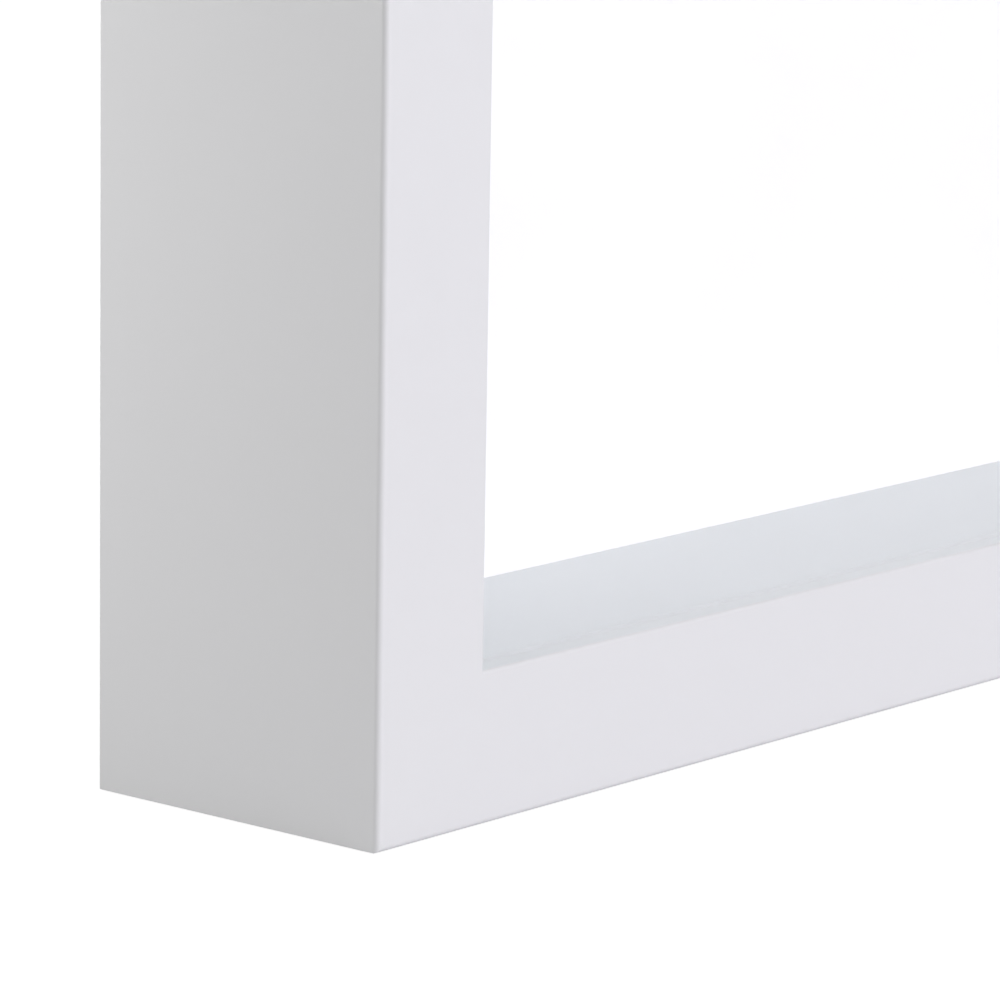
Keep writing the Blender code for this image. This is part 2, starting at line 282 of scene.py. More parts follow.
def make_floor():
    """A plain white floor that is bright enough to leave only a breath of shadow under the box."""
    shape = bmesh.new()
    bmesh.ops.create_circle(shape, cap_ends=True, segments=64, radius=FLOOR_RADIUS)
    mesh = bpy.data.meshes.new("floor")
    shape.to_mesh(mesh)
    shape.free()
    floor = bpy.data.objects.new("floor", mesh)
    bpy.context.scene.collection.objects.link(floor)
    floor.location.z = -FLOOR_DROP
    material = bpy.data.materials.new("floor_white")
    material.use_nodes = True
    tree = material.node_tree
    tree.nodes.clear()
    add, link = tree.nodes.new, tree.links.new
    glow = add("ShaderNodeEmission")
    glow.inputs["Strength"].default_value = FLOOR_GLOW
    matt = add("ShaderNodeBsdfDiffuse")
    matt.inputs["Color"].default_value = (*FLOOR_GREY, 1)
    both = add("ShaderNodeAddShader")
    link(glow.outputs["Emission"], both.inputs[0])
    link(matt.outputs["BSDF"], both.inputs[1])

    # What the floor throws back on the box
    bounce = add("ShaderNodeBsdfDiffuse")
    bounce.inputs["Color"].default_value = (*FLOOR_BOUNCE, 1)
    choice = add("ShaderNodeMixShader")
    link(add("ShaderNodeLightPath").outputs["Is Camera Ray"], choice.inputs["Fac"])
    link(bounce.outputs["BSDF"], choice.inputs[1])
    link(both.outputs["Shader"], choice.inputs[2])
    link(choice.outputs["Shader"], add("ShaderNodeOutputMaterial").inputs["Surface"])
    mesh.materials.append(material)


# ---------------------------------------------------------------------------------------------------------------
# Materials
# ---------------------------------------------------------------------------------------------------------------

class Recipe:
    """A Principled material whose colour, roughness and relief come from textures fixed in the frame."""

    def __init__(self, name, metallic=0.0):
        self.material = bpy.data.materials.new(name)
        self.material.use_nodes = True
        self.tree = self.material.node_tree
        self.shader = self.tree.nodes["Principled BSDF"]
        self.shader.inputs["Metallic"].default_value = metallic
        self.place = self.tree.nodes.new("ShaderNodeTexCoord").outputs["Object"]
        self.relief = None

    def stretched(self, scale):
        """The place scaled by a factor along each axis."""
        mapping = self.tree.nodes.new("ShaderNodeMapping")
        mapping.inputs["Scale"].default_value = scale
        self.tree.links.new(self.place, mapping.inputs["Vector"])
        return mapping.outputs["Vector"]

    def noise(self, scale, detail=2.0, stretch=None, distortion=0.0):
        node = self.tree.nodes.new("ShaderNodeTexNoise")
        node.inputs["Scale"].default_value = scale
        node.inputs["Detail"].default_value = detail
        node.inputs["Distortion"].default_value = distortion
        self.tree.links.new(self.stretched(stretch) if stretch else self.place, node.inputs["Vector"])
        return node.outputs["Fac"]

    def cells(self, scale, stretch=None):
        node = self.tree.nodes.new("ShaderNodeTexVoronoi")
        node.inputs["Scale"].default_value = scale
        self.tree.links.new(self.stretched(stretch) if stretch else self.place, node.inputs["Vector"])
        return node.outputs["Distance"]

    def between(self, value, low, high, start=0.3, end=0.7):
        """The value, which runs from start to end, mapped to low to high and kept there."""
        node = self.tree.nodes.new("ShaderNodeMapRange")
        for socket, number in zip(("From Min", "From Max", "To Min", "To Max"), (start, end, low, high)):
            node.inputs[socket].default_value = number
        self.tree.links.new(value, node.inputs["Value"])
        return node.outputs["Result"]

    def colours(self, value, stops):
        """Colours the value by stops of (position, colour)."""
        node = self.tree.nodes.new("ShaderNodeValToRGB")
        ramp = node.color_ramp.elements
        while len(ramp) < len(stops):
            ramp.new(0.5)
        for element, (position, colour) in zip(ramp, stops):
            element.position = position
            element.color = (*colour, 1)
        self.tree.links.new(value, node.inputs["Fac"])
        return node.outputs["Color"]

    def blend(self, share, first, second, mode="MIX"):
        """Two colours mixed by the share."""
        node = self.tree.nodes.new("ShaderNodeMix")
        node.data_type = "RGBA"
        node.blend_type = mode
        a, b = [socket for socket in node.inputs if socket.type == "RGBA"]
        if isinstance(share, float):
            node.inputs[0].default_value = share
        else:
            self.tree.links.new(share, node.inputs[0])
        self.tree.links.new(first, a)
        self.tree.links.new(second, b)
        return next(socket for socket in node.outputs if socket.type == "RGBA")

    def set(self, socket, value):
        self.tree.links.new(value, self.shader.inputs[socket])

    def bump(self, height, depth):
        """Adds relief of this depth, in metres, over what is there."""
        node = self.tree.nodes.new("ShaderNodeBump")
        node.inputs["Distance"].default_value = depth
        self.tree.links.new(height, node.inputs["Height"])
        if self.relief:
            self.tree.links.new(self.relief, node.inputs["Normal"])
        self.relief = node.outputs["Normal"]
        self.set("Normal", self.relief)


def tinted(colour, factor):
    return tuple(channel * factor for channel in colour)


def make_paint(name, colour, roughness, peel_depth):
    """Sprayed paint: a slight drift in tone, fine orange peel and a few specks of texture."""
    recipe = Recipe(name)
    recipe.set("Base Color", recipe.colours(recipe.noise(9, 3), [(0.3, tinted(colour, 0.988)), (0.7, colour)]))
    recipe.set("Roughness", recipe.between(recipe.noise(260, 3), roughness - 0.05, roughness + 0.05))
    recipe.bump(recipe.noise(900, 2), peel_depth)
    recipe.bump(recipe.noise(140, 2), peel_depth * 2)
    return recipe.material


def make_metal(name, dark, light, roughness, streak, depth):
    """Plated or drawn steel: cloudy tone, fine streaks along one axis and small scratches."""
    recipe = Recipe(name, metallic=1.0)
    clouds = recipe.noise(420, 4, distortion=0.6)
    streaks = recipe.noise(700, 3, stretch=streak)
    tone = recipe.colours(clouds, [(0.25, dark), (0.75, light)])
    lines = recipe.colours(streaks, [(0.3, (0.90, 0.90, 0.90)), (0.6, (1.0, 1.0, 1.0))])
    recipe.set("Base Color", recipe.blend(1.0, tone, lines, "MULTIPLY"))
    recipe.set("Roughness", recipe.between(streaks, roughness - 0.05, roughness + 0.06))
    recipe.bump(streaks, depth)
    return recipe.material


def make_acrylic():
    """Clear cast acrylic: it passes light straight through and mirrors a little, more at a slant."""
    material = bpy.data.materials.new("clear_cast_acrylic")
    material.use_nodes = True
    tree = material.node_tree
    tree.nodes.clear()
    add, link = tree.nodes.new, tree.links.new
    place = add("ShaderNodeTexCoord").outputs["Object"]
    waves = add("ShaderNodeTexNoise")
    waves.inputs["Scale"].default_value = 14
    waves.inputs["Detail"].default_value = 1
    link(place, waves.inputs["Vector"])
    relief = add("ShaderNodeBump")
    relief.inputs["Distance"].default_value = 0.00002
    link(waves.outputs["Fac"], relief.inputs["Height"])
    clear = add("ShaderNodeBsdfTransparent")
    mirror = add("ShaderNodeBsdfGlossy")
    mirror.inputs["Roughness"].default_value = 0.02
    link(relief.outputs["Normal"], mirror.inputs["Normal"])
    slant = add("ShaderNodeLayerWeight")
    slant.inputs["Blend"].default_value = 0.5
    link(relief.outputs["Normal"], slant.inputs["Normal"])
    steep = add("ShaderNodeMath")
    steep.operation = "POWER"
    steep.inputs[1].default_value = 5
    link(slant.outputs["Facing"], steep.inputs[0])
    share = add("ShaderNodeMapRange")
    share.inputs["To Min"].default_value = PANE_MIRROR
    link(steep.outputs["Value"], share.inputs["Value"])
    both = add("ShaderNodeMixShader")
    link(share.outputs["Result"], both.inputs["Fac"])
    link(clear.outputs["BSDF"], both.inputs[1])
    link(mirror.outputs["BSDF"], both.inputs[2])
    link(both.outputs["Shader"], add("ShaderNodeOutputMaterial").inputs["Surface"])
    return material


def make_card(name, colour, fibre_depth):
    """Paper-faced board: faint mottle and fine fibres."""
    recipe = Recipe(name)
    recipe.set("Base Color", recipe.colours(recipe.noise(60, 4), [(0.3, tinted(colour, 0.985)), (0.7, colour)]))
    recipe.set("Roughness", recipe.between(recipe.noise(900, 2), 0.72, 0.86))
    recipe.bump(recipe.noise(2200, 3, stretch=(1, 1, 0.35)), fibre_depth)
    recipe.shader.inputs["Specular IOR Level"].default_value = 0.3
    return recipe.material


def make_foam():
    """The cut edge of foam board: small closed cells, torn open here and there. Painted shade darkens the hollow of
    each cell.
    """
    recipe = Recipe("foam_cells")
    cells = recipe.cells(1500)
    # Painted shade: the colour darkens towards the middle of each cell, where the relief below sinks into a hollow
    recipe.set("Base Color", recipe.colours(cells, [(0.0, (0.80, 0.79, 0.76)), (0.6, (0.90, 0.90, 0.87))]))
    recipe.set("Roughness", recipe.between(recipe.noise(500), 0.80, 0.95))
    recipe.bump(cells, 0.00025)
    return recipe.material


def make_hardboard(name, dark, light, smoothness):
    """Pressed brown fibreboard: short matted fibres, a slight drift in tone and dark flecks."""
    recipe = Recipe(name)
    drift = recipe.noise(22, 3)
    mat = recipe.noise(420, 5, stretch=(1, 1, 0.8), distortion=0.5)
    fibres = recipe.noise(1100, 4, stretch=(1, 1, 0.3), distortion=0.6)
    flecks = recipe.noise(1300, 2, stretch=(0.6, 1, 1))
    ground = recipe.colours(drift, [(0.30, dark), (0.70, light)])
    felt = recipe.colours(mat, [(0.30, (0.80, 0.78, 0.76)), (0.68, (1.0, 1.0, 1.0))])
    threads = recipe.colours(fibres, [(0.30, (0.78, 0.75, 0.72)), (0.62, (1.0, 1.0, 1.0))])
    specks = recipe.colours(flecks, [(0.24, (0.52, 0.46, 0.42)), (0.33, (1.0, 1.0, 1.0))])
    cloth = recipe.blend(1.0, recipe.blend(1.0, ground, felt, "MULTIPLY"), threads, "MULTIPLY")
    recipe.set("Base Color", recipe.blend(1.0, cloth, specks, "MULTIPLY"))
    recipe.set("Roughness", recipe.between(mat, smoothness, smoothness + 0.16))
    recipe.bump(fibres, 0.00003)
    recipe.bump(mat, 0.00005)
    return recipe.material


def make_rubber(name, colour, roughness):
    recipe = Recipe(name)
    recipe.set("Base Color", recipe.colours(recipe.noise(300, 3), [(0.3, tinted(colour, 0.85)), (0.7, colour)]))
    recipe.set("Roughness", recipe.between(recipe.noise(1600, 2), roughness - 0.08, roughness + 0.08))
    recipe.bump(recipe.noise(2600, 2), 0.00004)
    return recipe.material


PANE_MIRROR = 0.010  # share mirrored face on
PAINT_WHITE = (0.743, 0.743, 0.741)
LINER_WHITE = (0.782, 0.806, 0.810)
BOARD_WHITE = (0.99, 0.99, 0.99)

satin_paint = make_paint("satin_white_paint", PAINT_WHITE, 0.42, 0.0000030)
liner_paint = make_paint("matt_white_paint", LINER_WHITE, 0.62, 0.0000050)
acrylic = make_acrylic()
edge_strip = make_card("pane_edge_strip", LINER_WHITE, 0.00001)
board_face = make_card("mount_board_face", BOARD_WHITE, 0.00001)
board_core = make_card("mount_board_core", (0.86, 0.85, 0.81), 0.00005)
foam_face = make_card("foam_board_paper", (0.88, 0.88, 0.87), 0.00001)
foam_cells = make_foam()
hardboard_face = make_hardboard("hardboard_face", (0.265, 0.160, 0.086), (0.315, 0.198, 0.112), 0.52)
hardboard_edge = make_hardboard("hardboard_edge", (0.200, 0.125, 0.072), (0.260, 0.170, 0.100), 0.75)
zinc = make_metal("bright_zinc", (0.63, 0.64, 0.65), (0.73, 0.73, 0.72), 0.30, (1, 1, 0.12), 0.000010)
bright_steel = make_metal("screw_steel_bright", (0.55, 0.55, 0.55), (0.70, 0.70, 0.70), 0.26, (1, 0.2, 1), 0.000008)
dull_steel = make_metal("nail_steel_dull", (0.34, 0.34, 0.35), (0.50, 0.50, 0.50), 0.42, (1, 0.1, 1), 0.000020)
rubber = make_rubber("grey_rubber_soft", (0.105, 0.105, 0.110), 0.62)
tape = make_rubber("adhesive_tape", (0.55, 0.55, 0.53), 0.75)


# ---------------------------------------------------------------------------------------------------------------
# Building
# ---------------------------------------------------------------------------------------------------------------

def side_matrix(side):
    _, middle, turn = SIDES[side]
    return Matrix.Translation(middle) @ Matrix.Rotation(math.radians(turn), 4, "Y")


def arc(centre, radius, start, end, steps):
    """Points of an arc about centre, from the start angle to the end angle in degrees, both ends included."""
    angles = [math.radians(start + (end - start) * step / steps) for step in range(steps + 1)]
    return [(centre[0] + radius * math.cos(a), centre[1] + radius * math.sin(a)) for a in angles]


def circle(centre, radius, steps):
    return arc(centre, radius, 0, 360, steps)[:-1]


def join_rings(shape, rings, closed=False, cyclic=True):
    """Faces between rings of corners that follow one another. closed joins the last ring to the first."""
    pairs = list(zip(rings, rings[1:])) + ([(rings[-1], rings[0])] if closed else [])
    for ring, following in pairs:
        count = len(ring)
        for k in range(count if cyclic else count - 1):
            after = (k + 1) % count
            shape.faces.new((ring[k], following[k], following[after], ring[after]))


def add_ring(shape, points):
    return [shape.verts.new(point) for point in points]


def add_prism(shape, outline, near, far):
    """Adds an outline of (x, z) points, extruded along Y from near to far."""
    rings = [add_ring(shape, [(x, y, z) for x, z in outline]) for y in (near, far)]
    join_rings(shape, rings)
    for ring in rings:
        shape.faces.new(ring)


def add_turned(shape, profile, steps, matrix=None):
    """Adds a solid turned about Z from a profile of (radius, z) points that starts and ends on the axis."""
    rings = []
    for radius, z in profile:
        corners = circle((0, 0), radius, steps) if radius else [(0, 0)]
        rings.append(add_ring(shape, [(x, y, z) for x, y in corners]))
    for ring, following in zip(rings, rings[1:]):
        for k in range(steps):
            after = (k + 1) % steps
            if len(ring) == 1:
                shape.faces.new((ring[0], following[k], following[after]))
            elif len(following) == 1:
                shape.faces.new((ring[k], following[0], ring[after]))
            else:
                shape.faces.new((ring[k], following[k], following[after], ring[after]))
    if matrix:
        bmesh.ops.transform(shape, matrix=matrix, verts=[v for ring in rings for v in ring])


def box_shape(low, high):
    shape = bmesh.new()
    size, middle = high - low, (high + low) / 2
    bmesh.ops.create_cube(shape, size=1, matrix=Matrix.LocRotScale(middle, None, size))
    return shape


def solid(name, shape, matrix=None):
    """An object of the mesh, moved by the matrix, with its faces outwards."""
    bmesh.ops.recalc_face_normals(shape, faces=shape.faces)
    if matrix:
        bmesh.ops.transform(shape, matrix=matrix, verts=shape.verts)
    mesh = bpy.data.meshes.new(name)
    shape.to_mesh(mesh)
    shape.free()
    made = bpy.data.objects.new(name, mesh)
    bpy.context.scene.collection.objects.link(made)
    return made


def apply_modifiers(piece):
    depsgraph = bpy.context.evaluated_depsgraph_get()
    mesh = bpy.data.meshes.new_from_object(piece.evaluated_get(depsgraph))
    piece.modifiers.clear()
    piece.data = mesh


def cut(piece, cutter):
    """Takes the cutter out of the piece, and removes the cutter."""
    boolean = piece.modifiers.new("cut", "BOOLEAN")
    boolean.operation, boolean.solver, boolean.object = "DIFFERENCE", "EXACT", cutter
    apply_modifiers(piece)
    bpy.data.objects.remove(cutter)


def round_edges(piece, width, segments=3, angle=40):
    """Rounds every edge that is sharper than the angle in degrees."""
    bevel = piece.modifiers.new("bevel", "BEVEL")
    bevel.width, bevel.segments = width, segments
    bevel.limit_method, bevel.angle_limit = "ANGLE", math.radians(angle)
    bevel.use_clamp_overlap = True
    apply_modifiers(piece)


def smooth(piece, angle=35):
    """Smooth shading that keeps the flat faces flat."""
    piece.data.shade_smooth()
    piece.data.set_sharp_from_angle(angle=math.radians(angle))
    weighted = piece.modifiers.new("weighted", "WEIGHTED_NORMAL")
    weighted.keep_sharp = True
    weighted.weight = 100
    apply_modifiers(piece)


def stand_for(node, piece, materials, angle=35):
    """Finishes a piece that stands for a CAD node: its materials, shading, name and body, and hides the node."""
    if not piece.data.materials:
        for material in materials:
            piece.data.materials.append(material)
    smooth(piece, angle)
    piece.name = f"fine_{node}"
    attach(piece, frame["nodes"][node]["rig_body"])
    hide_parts(node)


# ---------------------------------------------------------------------------------------------------------------
# Rails, liners and nails
# ---------------------------------------------------------------------------------------------------------------

def moulding_section(lip_back):
    """The rail's section as (distance in from the outer face, y) points."""
    outer = arc((OUTER_ARRIS, FRONT + OUTER_ARRIS), OUTER_ARRIS, 180, 270, 10)
    sight = arc((FACE - SIGHT_ARRIS, FRONT + SIGHT_ARRIS), SIGHT_ARRIS, 270, 360, 10)
    rabbet = [(FACE, lip_back), (WALL, lip_back)]
    inner = arc((WALL - REAR_ARRIS, REAR - REAR_ARRIS), REAR_ARRIS, 0, 90, 4)
    rear = arc((REAR_ARRIS, REAR - REAR_ARRIS), REAR_ARRIS, 90, 180, 4)
    return outer + sight + rabbet + inner + rear


def nail_outline(grow=0.0):
    """The corner nail's L at the corner that begins a side. grow widens it all round."""
    near = NAIL_INSET - grow
    inner = NAIL_INSET + NAIL_THICKNESS + grow
    end = NAIL_INSET + NAIL_LEG + grow
    return [(near, near), (end, near), (end, inner), (inner, inner), (inner, end), (near, end)]


def end_station(u, step):
    """Where a line of the moulding, a distance u in from the outer face, is at one step away from the mitre.

    The outer corner is rounded, so lines near it turn through an eighth of a circle first.
    """
    radius = CORNER_ROUNDING - u
    if radius <= 0:
        return u + MITRE_STEP * step, u
    angle = math.radians(45 + 45 * step / MITRE_STEPS)
    return CORNER_ROUNDING - radius * math.cos(angle), CORNER_ROUNDING - radius * math.sin(angle)


def make_rail(side, holes):
    """A mitred rail that meets its neighbours without a gap, with its pilot holes and halves of the nail slots."""
    length = SIDES[side][0]
    section = moulding_section(pane_low.y - CONTACT)
    shape = bmesh.new()
    near = [[(end_station(u, step), y) for u, y in section] for step in range(MITRE_STEPS + 1)]
    rings = [add_ring(shape, [(x - length / 2, y, z) for (x, z), y in ring]) for ring in near]
    rings += [add_ring(shape, [(length / 2 - x, y, z) for (x, z), y in ring]) for ring in reversed(near)]
    join_rings(shape, rings)
    shape.faces.new(rings[0])
    shape.faces.new(rings[-1])
    rail = solid(f"rail_{side}_body", shape, side_matrix(side))

    cutter = bmesh.new()
    for along in holes:
        hole = circle((along, RAIL_MIDDLE), HOLE_RADIUS, 32)
        add_prism(cutter, hole, REAR - SCREW_IN_WOOD - HOLE_TO_SPARE, REAR + OVERCUT)
    nail_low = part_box("corner_nail_bottom_left")[0].y - 2 * CONTACT
    for end in (-1, 1):
        outline = [(end * (length / 2 - x), z) for x, z in nail_outline(CONTACT)]
        add_prism(cutter, outline, nail_low, REAR + OVERCUT)
    cut(rail, solid("cutter", cutter, side_matrix(side)))

    # The lip's inner face is painted with the liner, so that they read as one wall
    rail.data.materials.append(satin_paint)
    rail.data.materials.append(liner_paint)
    back = side_matrix(side).inverted()
    for face in rail.data.polygons:
        face.material_index = int(abs((back @ face.center).z - FACE) < 10 * TINY)
    stand_for(f"rail_{side}", rail, [], 30)


def make_liner(side):
    """A painted spacer wall, tight between pane and mount board, its inner face flush with the sight edge."""
    low, high = map(Vector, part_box(f"liner_{side}"))
    low.y = pane_high.y + CONTACT
    high.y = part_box("mount_board")[0].y - CONTACT
    if side in ("left", "right"):
        low.z -= CAD_GAP - CONTACT
        high.z += CAD_GAP - CONTACT
    liner = solid(f"liner_{side}_body", box_shape(low, high))
    round_edges(liner, LINER_EDGE, 2)
    stand_for(f"liner_{side}", liner, [liner_paint])


def make_corner_nail(corner, side):
    """A bent strip driven into the mitre, its bend and edges rounded."""
    node = f"corner_nail_{corner}"
    low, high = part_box(node)
    length = SIDES[side][0]
    shape = bmesh.new()
    add_prism(shape, [(x - length / 2, z) for x, z in nail_outline()], low.y, high.y)
    nail = solid(f"{node}_body", shape, side_matrix(side))
    round_edges(nail, NAIL_EDGE, 2)
    stand_for(node, nail, [dull_steel])


# ---------------------------------------------------------------------------------------------------------------
# Sheets
# ---------------------------------------------------------------------------------------------------------------

def give_edges(piece, inset=0.0006):
    """The faces near the sheet's four cut edges take its second material."""
    lows = [min(v.co[k] for v in piece.data.vertices) for k in (0, 2)]
    highs = [max(v.co[k] for v in piece.data.vertices) for k in (0, 2)]
    for face in piece.data.polygons:
        x, z = face.center.x, face.center.z
        near_edge = min(x - lows[0], z - lows[1], highs[0] - x, highs[1] - z) < inset
        face.material_index = int(near_edge and abs(face.normal.y) < 0.5)


def make_sheet(node, face_material, edge_material, rounding):
    low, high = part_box(node)
    piece = solid(f"{node}_body", box_shape(low, high))
    round_edges(piece, rounding, 3)
    piece.data.materials.append(face_material)
    piece.data.materials.append(edge_material)
    give_edges(piece)
    stand_for(node, piece, [])


def make_foam_board():
    """Foam between two sheets of paper. The paper stands a little proud of the cut foam."""
    low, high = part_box("foam_board")
    front_paper, rear_paper = low.y + FOAM_PAPER, high.y - FOAM_PAPER
    layers = [
        (low.y, 0), (front_paper, 0), (front_paper, FOAM_SET_BACK),
        (rear_paper, FOAM_SET_BACK), (rear_paper, 0), (high.y, 0),
    ]
    shape = bmesh.new()
    rings = []
    for y, inset in layers:
        x0, x1, z0, z1 = low.x + inset, high.x - inset, low.z + inset, high.z - inset
        rings.append(add_ring(shape, [(x0, y, z0), (x1, y, z0), (x1, y, z1), (x0, y, z1)]))
    join_rings(shape, rings)
    shape.faces.new(rings[0])
    shape.faces.new(rings[-1])
    piece = solid("foam_board_body", shape)
    piece.data.materials.append(foam_face)
    piece.data.materials.append(foam_cells)
    for face in piece.data.polygons:
        face.material_index = int(front_paper - TINY < face.center.y < rear_paper + TINY)
    stand_for("foam_board", piece, [])


def make_pane():
    """The clear pane. A white strip closes its rim, just outside the sight edge."""
    edge = FACE - EDGE_STRIP_INSET
    x, z0, z1 = WIDTH / 2 - edge, edge, HEIGHT - edge
    piece = solid("pane_body", box_shape(Vector((-x, pane_low.y, z0)), Vector((x, pane_high.y, z1))))
    round_edges(piece, PANE_EDGE, 2)
    shape = bmesh.new()
    shape.from_mesh(piece.data)

    rings = []
    for out, y in ((0, pane_low.y), (0, pane_high.y), (1, pane_high.y), (1, pane_low.y)):
        low, high = (pane_low, pane_high) if out else (Vector((-x, 0, z0)), Vector((x, 0, z1)))
        grow = 0 if out else EDGE_STRIP_GAP
        corners = [
            (low.x - grow, low.z - grow), (high.x + grow, low.z - grow),
            (high.x + grow, high.z + grow), (low.x - grow, high.z + grow),
        ]
        rings.append(add_ring(shape, [(cx, y, cz) for cx, cz in corners]))
    before = set(shape.faces)
    join_rings(shape, rings, closed=True)
    for face in shape.faces:
        face.material_index = int(face not in before)
    bpy.data.objects.remove(piece)
    pane = solid("pane_and_strip", shape)
    pane.data.materials.append(acrylic)
    pane.data.materials.append(edge_strip)
    stand_for("glazing_pane", pane, [])


# ---------------------------------------------------------------------------------------------------------------
# Hardware
# ---------------------------------------------------------------------------------------------------------------

def screw_head(name, under_head, turn):
    """A domed head with a cross recess, cut by two tapered blades."""
    crown = HEAD_HEIGHT - HEAD_RIM
    dome = [(0, under_head + HEAD_HEIGHT)]
    for k in range(1, DOME_STEPS):
        angle = math.radians(90 * k / DOME_STEPS)
        radius = HEAD_RADIUS * math.sin(angle) ** 0.8
        dome.append((radius, under_head + HEAD_RIM + crown * math.cos(angle) ** 0.9))
    dome += [
        (HEAD_RADIUS, under_head + HEAD_RIM),
        (HEAD_RADIUS, under_head + HEAD_EDGE),
        (HEAD_RADIUS - HEAD_EDGE, under_head),
        (SHANK_RADIUS, under_head),
        (SHANK_RADIUS, under_head - NECK),
        (0, under_head - NECK),
    ]
    shape = bmesh.new()
    add_turned(shape, dome, 32)
    head = solid(name, shape, turn)

    top = under_head + HEAD_HEIGHT
    ends = (
        (top + RECESS_OVERCUT, RECESS_REACH * 1.25, RECESS_WIDTH * 1.15),
        (top - RECESS_DEPTH, RECESS_REACH * 0.45, RECESS_WIDTH * 0.75),
    )
    for turned in (0, 90):
        cutter = bmesh.new()
        rings = []
        for z, reach, width in ends:
            corners = [(-reach, -width / 2), (reach, -width / 2), (reach, width / 2), (-reach, width / 2)]
            rings.append(add_ring(cutter, [(x, y, z) for x, y in corners]))
        join_rings(cutter, rings)
        for ring in rings:
            cutter.faces.new(ring)
        bmesh.ops.rotate(cutter, verts=cutter.verts, matrix=Matrix.Rotation(math.radians(turned), 3, "Z"))
        cut(head, solid("cutter", cutter, turn))
    return head


def screw_shank(under_head, turn):
    """The shank, with its thread as a ridge that winds down to the point."""
    shape = bmesh.new()
    core = SHANK_RADIUS - THREAD_DEPTH
    start, end = under_head - NECK, -SCREW_IN_WOOD
    rings = []
    for level in range(SHANK_LEVELS):
        z = start + (end - start) * level / (SHANK_LEVELS - 1)
        taper = min(1.0, (z - end) / POINT_LENGTH + POINT_SHARE)
        ring = []
        for k in range(SHANK_SIDES):
            angle = 2 * math.pi * k / SHANK_SIDES
            phase = (z / THREAD_PITCH - k / SHANK_SIDES) % 1.0
            ridge = max(0.0, 1.0 - abs(phase - 0.5) * THREAD_STEEPNESS) if z < THREAD_START else 1.0
            radius = (core + THREAD_DEPTH * ridge) * taper
            ring.append((radius * math.cos(angle), radius * math.sin(angle), z))
        rings.append(add_ring(shape, ring))
    join_rings(shape, rings)
    shape.faces.new(rings[0])
    shape.faces.new(rings[-1])
    return solid("shank", shape, turn)


def screw_object(name, under_head, place):
    """A pan-head screw with its head towards +Y."""
    turn = Matrix.Translation(place) @ Matrix.Rotation(math.radians(-90), 4, "X")
    head = screw_head(name, under_head, turn)
    shank = screw_shank(under_head, turn)
    merged = bmesh.new()
    merged.from_mesh(head.data)
    merged.from_mesh(shank.data)
    merged.to_mesh(head.data)
    merged.free()
    bpy.data.objects.remove(shank)
    return head


def make_screw(node, under_head):
    low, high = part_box(node)
    place = Vector(((low.x + high.x) / 2, REAR, (low.z + high.z) / 2))
    stand_for(node, screw_object(f"{node}_body", under_head, place), [bright_steel], 38)


def make_turn_button(name):
    """A blanked steel button with rounded ends and softened edges."""
    side, aside = BUTTON_SIDES[name]
    node = f"turn_button_{name}"
    low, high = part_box(node)
    screw_low, screw_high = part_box(f"turn_button_screw_{name}")
    pivot = Vector(((screw_low.x + screw_high.x) / 2, 0, (screw_low.z + screw_high.z) / 2))
    radius = BUTTON_WIDTH / 2
    outline = arc((0, 0), radius, 180, 360, 28) + arc((0, BUTTON_REACH - radius), radius, 0, 180, 28)
    shape = bmesh.new()
    add_prism(shape, outline, low.y, high.y)
    turn = Matrix.Rotation(math.radians(SIDES[side][2] + aside), 4, "Y")
    matrix = Matrix.Translation(pivot) @ turn
    button = solid(f"{node}_body", shape, matrix)
    cutter = bmesh.new()
    add_prism(cutter, circle((0, 0), HOLE_RADIUS, 40), low.y - OVERCUT, high.y + OVERCUT)
    cut(button, solid("cutter", cutter, matrix))
    round_edges(button, BUTTON_EDGE, 3)
    stand_for(node, button, [zinc])


def make_strap(side):
    """A steel strap whose upper end is rolled into an eye. Its lower corners are rounded off."""
    node = f"hanger_strap_{side}"
    low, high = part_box(node)
    x = (low.x + high.x) / 2
    pivot_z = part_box(f"hanger_ring_{side}")[1].z - WIRE_RADIUS
    eye_outer = EYE_INNER_RADIUS + STRAP_THICKNESS
    pivot = (STRAP_STAND_OFF + eye_outer, 0)
    face = STRAP_STAND_OFF + STRAP_THICKNESS
    roll_end = -math.degrees(math.acos((face + STRAP_STAND_OFF - pivot[0]) / eye_outer))
    outside = arc(pivot, eye_outer, 180, roll_end, 40)
    inside = arc(pivot, EYE_INNER_RADIUS, roll_end, 180, 32)

    half = STRAP_WIDTH / 2
    across = [-half + STRAP_END_ROUNDING * (1 - math.cos(math.radians(15 * k))) for k in range(7)]
    across += [-w for w in reversed(across)]
    shape = bmesh.new()
    rings = []
    for w in across:
        into_corner = max(0.0, abs(w) - (half - STRAP_END_ROUNDING))
        rise = STRAP_END_ROUNDING - math.sqrt(max(0.0, STRAP_END_ROUNDING ** 2 - into_corner ** 2))
        end = -STRAP_LENGTH + rise
        points = outside + inside + [(face, end), (STRAP_STAND_OFF, end)]
        rings.append(add_ring(shape, [(x + w, REAR + back, pivot_z + up) for back, up in points]))
    join_rings(shape, rings)
    shape.faces.new(rings[0])
    shape.faces.new(rings[-1])
    strap = solid(f"{node}_body", shape)
    cutter = bmesh.new()
    hole = circle((x, pivot_z - STRAP_SCREW_DROP), HOLE_RADIUS, 40)
    add_prism(cutter, hole, REAR - OVERCUT, REAR + STRAP_STAND_OFF + STRAP_THICKNESS + OVERCUT)
    cut(strap, solid("cutter", cutter))
    round_edges(strap, STRAP_EDGE, 2)
    stand_for(node, strap, [zinc])


